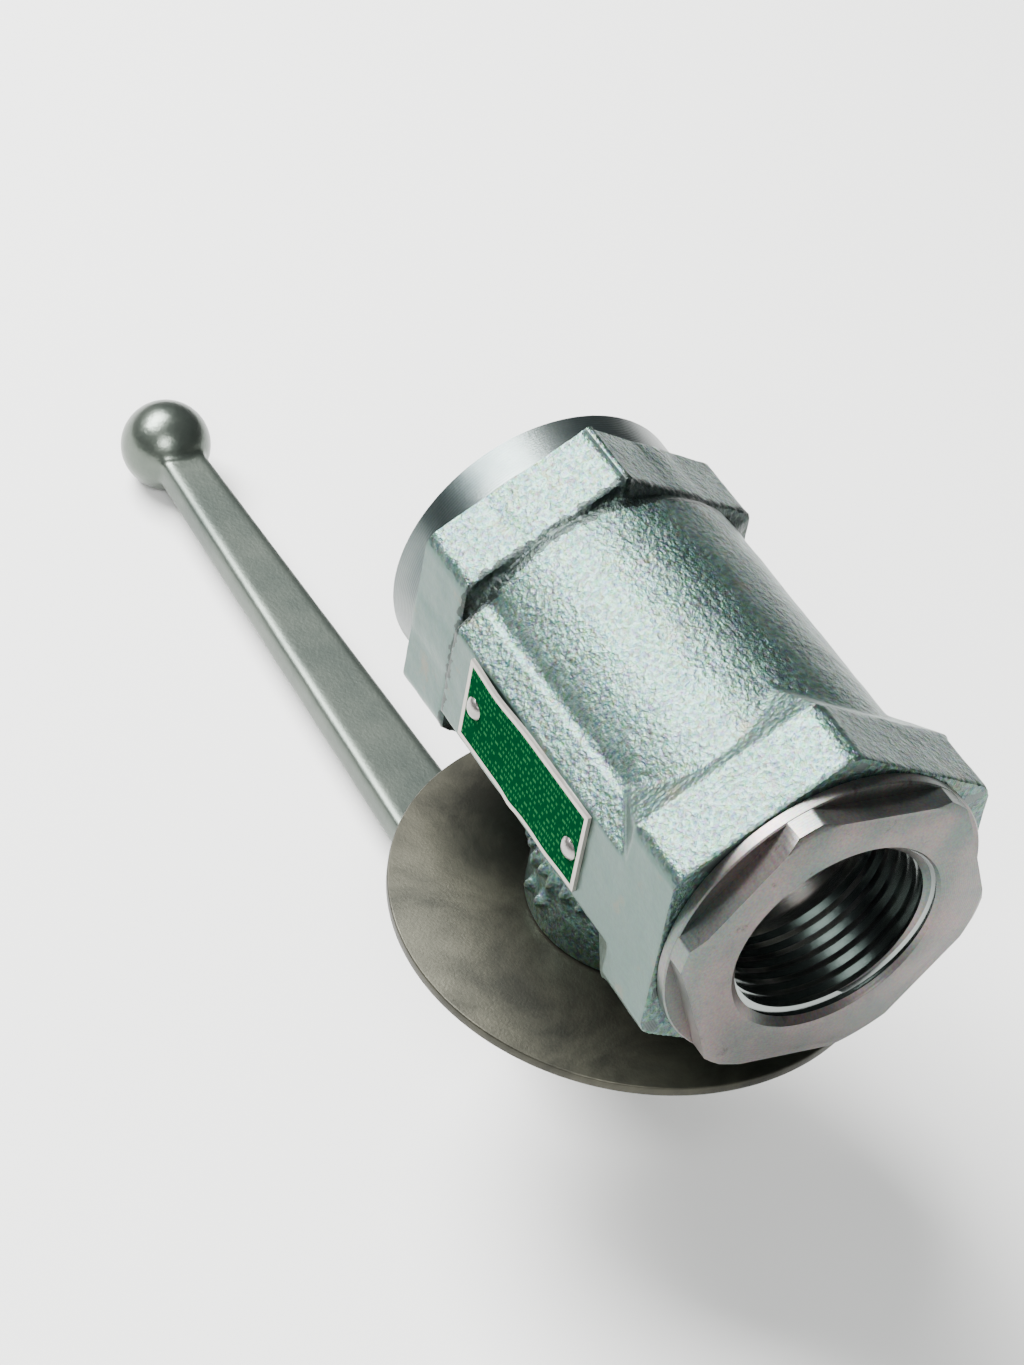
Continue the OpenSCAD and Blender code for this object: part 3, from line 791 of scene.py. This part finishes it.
# Stem: a turned steel spindle with a blow-out proof shoulder inside the body, two seal grooves,
# a milled square for disc and lever, and an M10 thread for the nut.
shaft_r = 0.008
shoulder_top = -0.0187
shoulder_bottom = -0.021
stem_shoulder_r = 0.0105
tang_top = -0.0147
tang_half = 0.0034
tang_r = 0.009
seal_groove_r = 0.0063
square_half = 0.0055
square_top = -0.035
square_bottom = -0.0487
square_corner_r = 0.0073
nut_thread_pitch = 0.0015
nut_thread_r = 0.00492
core_r = 0.0042
stem = bar("spindle", square_top - 0.0003, shoulder_bottom + 0.0002, shaft_r, axis="Z")
combine(stem, bar("shoulder", shoulder_bottom, shoulder_top, stem_shoulder_r, axis="Z"))
tang = block("tang", (-tang_half, -tang_r, shoulder_top - 0.0001), (tang_half, tang_r, tang_top))
combine(tang, bar("tang_round", -0.02, -0.01, tang_r, axis="Z"), "INTERSECT")
combine(stem, tang)
for top, bottom in ((-0.0242, -0.0262), (-0.0272, -0.0302)):
    groove = bar("groove", bottom, top, 0.01, axis="Z")
    combine(groove, bar("groove_floor", -0.04, -0.01, seal_groove_r, axis="Z"), "DIFFERENCE")
    combine(stem, groove, "DIFFERENCE")
square = block("square", (-square_half, -square_half, square_bottom),
               (square_half, square_half, square_top))
combine(square, bar("square_corners", -0.06, -0.03, square_corner_r, axis="Z"), "INTERSECT")
combine(stem, square)
stem_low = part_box("stem")[0].z
combine(stem, bar("thread_core", stem_low, -0.048, core_r, axis="Z"))
thread = screw_thread("thread", stem_low - 0.0002, 9, nut_thread_pitch, core_r - 0.0001,
                      nut_thread_r, axis="Z")
combine(thread, bar("thread_length", stem_low + 0.0004, square_bottom - 0.0001, core_r, 0.02,
                    axis="Z"), "INTERSECT")
combine(stem, thread)
made_of(stem, turned)
smooth(stem)
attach(stem, "operator")
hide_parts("stem")

# Lever nut and washers: bright zinc plated standard parts; the nut is chamfered on both faces.
nut_across = 0.017
rim = 0.0086
nut_mouth_r = 0.0058
washer_gap_r = 0.00505           # the washers' holes and the nut's bore
soft_edge = 0.0002
nut_low, nut_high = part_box("lever_nut")
nut = bar("hexagon_nut", nut_low.z, nut_high.z, nut_across * corner, sides=6, turn=0, axis="Z")
spread = (nut_high.z - nut_low.z) / chamfer_slope
combine(nut, bar("lower_chamfer", nut_low.z, nut_high.z, rim, rim + spread, axis="Z"), "INTERSECT")
combine(nut, bar("upper_chamfer", nut_low.z, nut_high.z, rim + spread, rim, axis="Z"), "INTERSECT")
combine(nut, bar("nut_bore", nut_low.z - 0.001, nut_high.z + 0.001, washer_gap_r, axis="Z"),
        "DIFFERENCE")
combine(nut, bar("nut_mouth", nut_low.z - 0.0001, nut_low.z + 0.0009, nut_mouth_r,
                 nut_mouth_r - 0.001, axis="Z"), "DIFFERENCE")
apply(nut, "BEVEL", width=soft_edge, segments=2, limit_method="ANGLE")
made_of(nut, bright)
smooth(nut)
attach(nut, "operator")
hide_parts("lever_nut")
for node, outer_r, is_split in (("lever_flat_washer", 0.010, False),
                                ("lever_spring_washer", 0.0088, True)):
    low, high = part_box(node)
    washer = bar(node + "_ring", low.z, high.z, outer_r, axis="Z", sides=128)
    combine(washer, bar("hole", low.z - 0.001, high.z + 0.001, washer_gap_r, axis="Z"),
            "DIFFERENCE")
    if is_split:
        combine(washer, block("split", (0, -0.0005, low.z - 0.001), (0.02, 0.0005, high.z + 0.001)),
                "DIFFERENCE")
    apply(washer, "BEVEL", width=soft_edge, segments=2, limit_method="ANGLE")
    made_of(washer, bright)
    smooth(washer)
    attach(washer, "operator")
    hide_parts(node)

# Inner parts that keep the CAD's shapes: the ground and chromed plug, the polymer seats and
# rings, the rubber seals, the bronze bush and the hardened stop pin. The plug's chromed steel is
# a dark mirror with a faint haze.
chromed, shader, place = make_material("steel_ground_and_chromed")
haze = add_node(chromed, "TexNoise", {"Vector": place, "Scale": 0.3 * per_mm, "Detail": 4.0})
tone = add_node(chromed, "ValToRGB", {"Fac": haze.outputs["Fac"]},
                stops=((0.3, paint("#6f6a72")), (0.7, paint("#807b82"))))
wire(chromed, shader, {"Base Color": tone.outputs["Color"], "Metallic": 1.0, "Roughness": 0.12})

# Turned PTFE: milky white and waxy, with the slight sheen of its low index.
polymer, shader, place = make_material("ptfe_turned")
milky = add_node(polymer, "TexNoise", {"Vector": place, "Scale": 0.25 * per_mm, "Detail": 3.0})
tone = add_node(polymer, "ValToRGB", {"Fac": milky.outputs["Fac"]},
                stops=((0.3, paint("#dcd8cc")), (0.7, paint("#eeebe2"))))
wire(polymer, shader, {"Base Color": tone.outputs["Color"], "Roughness": 0.45, "IOR": 1.35})

# Moulded nitrile rubber: matt black with a faint grey bloom.
rubber, shader, place = make_material("nitrile_rubber_moulded")
bloom = add_node(rubber, "TexNoise", {"Vector": place, "Scale": 0.7 * per_mm, "Detail": 3.0})
tone = add_node(rubber, "ValToRGB", {"Fac": bloom.outputs["Fac"]},
                stops=((0.3, paint("#141414")), (0.7, paint("#242424"))))
wire(rubber, shader, {"Base Color": tone.outputs["Color"], "Roughness": 0.6})

# Rolled bronze: a dull yellow brown, unevenly worn.
bronze, shader, place = make_material("bronze_rolled")
wear = add_node(bronze, "TexNoise", {"Vector": place, "Scale": 0.4 * per_mm, "Detail": 3.0})
tone = add_node(bronze, "ValToRGB", {"Fac": wear.outputs["Fac"]},
                stops=((0.3, paint("#8a6a3c")), (0.7, paint("#a9854f"))))
wire(bronze, shader, {"Base Color": tone.outputs["Color"], "Metallic": 1.0, "Roughness": 0.35})

finishes = {"ball_plug": chromed, "front_seat": polymer, "rear_seat": polymer,
            "connector_backup_ring": polymer, "stem_backup_ring": polymer,
            "stem_thrust_washer": polymer, "connector_o_ring": rubber,
            "front_seat_o_ring": rubber, "rear_seat_o_ring": rubber,
            "upper_stem_o_ring": rubber, "lower_stem_o_ring": rubber, "stem_bush": bronze,
            "stop_pin": bright}
for name, finish in finishes.items():
    for material_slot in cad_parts[name].material_slots:
        material_slot.material = finish
